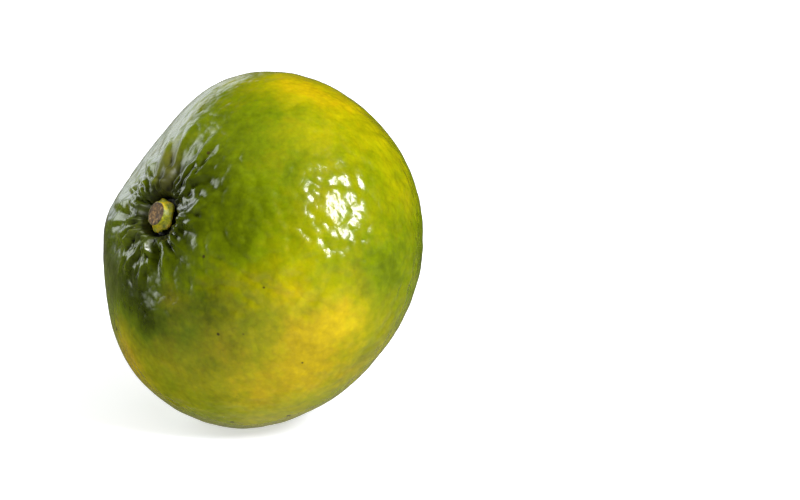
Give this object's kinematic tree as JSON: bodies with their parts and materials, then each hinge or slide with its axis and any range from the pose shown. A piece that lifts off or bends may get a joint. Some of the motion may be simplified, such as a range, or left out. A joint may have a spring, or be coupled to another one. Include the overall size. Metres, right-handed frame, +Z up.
{
  "type": "mandarin orange",
  "caption": "Green-skinned mandarin orange: a flattened round citrus fruit, its skin folded round a short cut stem button, lying on its side.",
  "frame": {"origin": "on the flat spot that the fruit rests on, straight below the middle of the fruit", "axes": "+Z up; the stem end looks towards -Y and rises 24 degrees above level; X runs straight across the fruit"},
  "size_m": [0.0619, 0.0531, 0.0609],
  "materials": {
    "peel": "glossy waxy citrus skin, green turning yellow, dimpled with oil glands",
    "calyx": "dry woody cut stem, brown on the cut face and yellow-green on its side"
  },
  "bodies": {
    "root": {"fruit": "peel", "calyx_button": "calyx"}
  },
  "joints": []
}
